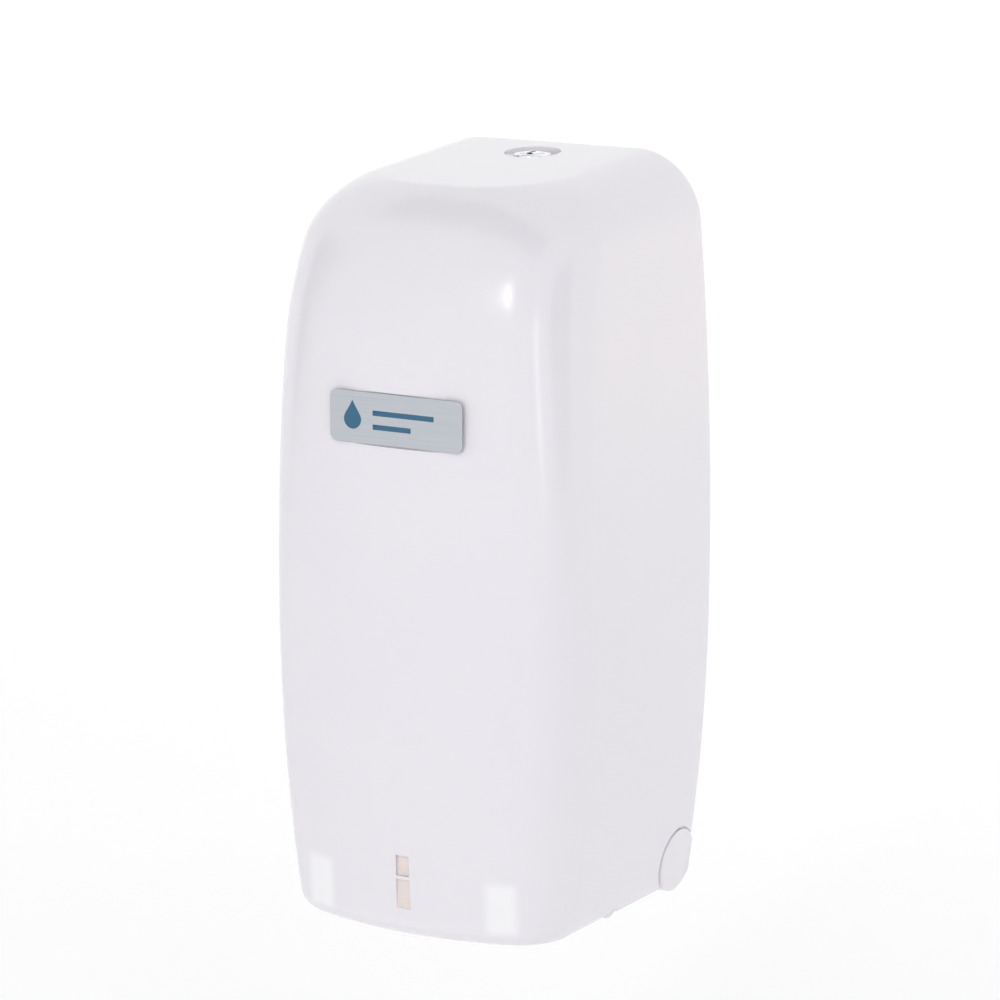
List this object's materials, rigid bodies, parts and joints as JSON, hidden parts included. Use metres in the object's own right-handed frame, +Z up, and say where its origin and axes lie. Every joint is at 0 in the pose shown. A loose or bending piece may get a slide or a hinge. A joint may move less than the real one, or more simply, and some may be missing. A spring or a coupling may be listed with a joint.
{
  "type": "wall mounted soap dispenser",
  "caption": "Touch-free wall soap dispenser with a barrel-shaped hinged cover over a refillable tank, a peristaltic pump and a battery box.",
  "frame": {"origin": "centre of the wall plate's flat rear face, which lies against the wall", "axes": "+Z up, +Y into the wall (the front of the dispenser faces -Y), +X to the right of a person who faces it"},
  "size_m": [0.1236, 0.112, 0.2646],
  "materials": {
    "cover_abs": "glossy white moulded ABS, slightly translucent",
    "white_abs": "satin white moulded ABS",
    "badge_foil": "silver printed label with a domed clear coat",
    "steel": "zinc plated",
    "brass": "turned brass",
    "black_abs": "fine-textured black ABS",
    "acetal": "natural acetal, satin",
    "clear_plastic": "clear polycarbonate",
    "tank_pe": "milky blow-moulded polyethylene",
    "silicone": "translucent silicone",
    "black_rubber": "matt black rubber",
    "pink_lens": "tinted diffusing light guide",
    "circuit": "solder-masked circuit board",
    "cell": "plain plastic sleeve over steel",
    "dark_window": "infrared-passing dark acrylic"
  },
  "bodies": {
    "base": {"wall_plate": "white_abs", "base_tray": "white_abs", "chassis": "white_abs", "front_panel": "white_abs", "spout": "white_abs", "lock_strike": "steel", "hinge_pin_left": "steel", "hinge_pin_right": "steel", "chassis_screw_1": "steel", "chassis_screw_2": "steel", "motor_case": "steel", "idler_shaft": "steel", "pump_screw_1": "steel", "pump_screw_2": "steel", "contact_top_left": "steel", "contact_top_right": "steel", "contact_bottom": "steel", "slide_switch": "steel", "battery_box": "black_abs", "gearbox": "black_abs", "pump_body": "black_abs", "tact_switch": "black_abs", "sensor_receiver": "black_abs", "corner_pad_left": "acetal", "corner_pad_right": "acetal", "pump_cover": "clear_plastic", "sensor_emitter": "clear_plastic", "pump_tube": "silicone", "spout_tip": "silicone", "indicator_lens": "pink_lens", "indicator_led_lower": "pink_lens", "indicator_led_upper": "pink_lens", "control_board": "circuit", "switch_board": "circuit", "battery_cell_1": "cell", "battery_cell_2": "cell", "battery_cell_3": "cell", "battery_cell_4": "cell", "sensor_window": "dark_window"},
    "cover": {"cover": "cover_abs", "badge": "badge_foil", "lock_housing": "steel", "lock_nut": "steel"},
    "lock": {"lock_plug": "brass", "lock_cam": "steel"},
    "tank": {"tank": "tank_pe", "tank_seal": "black_rubber"},
    "tank_cap": {"tank_cap": "white_abs"},
    "battery_door": {"battery_door": "white_abs"},
    "power_switch": {"switch_knob": "black_abs"},
    "test_button": {"test_button": "black_rubber"},
    "pump_rotor": {"pump_rotor": "acetal", "rotor_shaft": "steel", "output_gear": "acetal"},
    "pump_roller_1": {"pump_roller_1": "acetal"},
    "pump_roller_2": {"pump_roller_2": "acetal"},
    "pump_roller_3": {"pump_roller_3": "acetal"},
    "idler": {"idler_gear": "acetal"},
    "motor_rotor": {"motor_shaft": "steel", "motor_pinion": "brass"}
  },
  "joints": [
    {"name": "cover_hinge", "type": "hinge", "parent": "base", "child": "cover", "pos_m": [0, -0.01, -0.118], "axis": [1, 0, 0], "range_deg": [0, 80]},
    {"name": "lock_turn", "type": "hinge", "parent": "cover", "child": "lock", "pos_m": [0, -0.0193, 0.12], "axis": [0, 0, 1], "range_deg": [0, 90]},
    {"name": "tank_lift", "type": "slide", "parent": "base", "child": "tank", "axis": [0, 0, 1], "range_m": [0, 0.008]},
    {"name": "cap_lift", "type": "slide", "parent": "tank", "child": "tank_cap", "axis": [0, 0, 1], "range_m": [0, 0.008]},
    {"name": "battery_door_slide", "type": "slide", "parent": "base", "child": "battery_door", "axis": [0, 0, 1], "range_m": [0, 0.007]},
    {"name": "power_switch_slide", "type": "slide", "parent": "base", "child": "power_switch", "axis": [1, 0, 0], "range_m": [0, 0.004]},
    {"name": "test_press", "type": "slide", "parent": "base", "child": "test_button", "axis": [0, 1, 0], "range_m": [0, 0.0015], "stiffness_N_per_m": 400},
    {"name": "rotor_spin", "type": "hinge", "parent": "base", "child": "pump_rotor", "pos_m": [-0.0185, -0.072, -0.072], "axis": [0, 1, 0], "continuous": true},
    {"name": "idler_spin", "type": "hinge", "parent": "base", "child": "idler", "pos_m": [-0.01163, -0.05, -0.09078], "axis": [0, 1, 0], "continuous": true},
    {"name": "motor_spin", "type": "hinge", "parent": "base", "child": "motor_rotor", "pos_m": [-0.02667, -0.045, -0.09624], "axis": [0, 1, 0], "continuous": true},
    {"name": "roller_spin_1", "type": "hinge", "parent": "pump_rotor", "child": "pump_roller_1", "pos_m": [-0.0185, -0.073, -0.061], "axis": [0, 1, 0], "continuous": true},
    {"name": "roller_spin_2", "type": "hinge", "parent": "pump_rotor", "child": "pump_roller_2", "pos_m": [-0.02803, -0.073, -0.0775], "axis": [0, 1, 0], "continuous": true},
    {"name": "roller_spin_3", "type": "hinge", "parent": "pump_rotor", "child": "pump_roller_3", "pos_m": [-0.00897, -0.073, -0.0775], "axis": [0, 1, 0], "continuous": true}
  ],
  "couplings": [
    {"joint": "idler_spin", "follows": "rotor_spin", "ratio": -4},
    {"joint": "motor_spin", "follows": "rotor_spin", "ratio": 12},
    {"joint": "roller_spin_1", "follows": "rotor_spin", "ratio": -3.75},
    {"joint": "roller_spin_2", "follows": "rotor_spin", "ratio": -3.75},
    {"joint": "roller_spin_3", "follows": "rotor_spin", "ratio": -3.75}
  ]
}
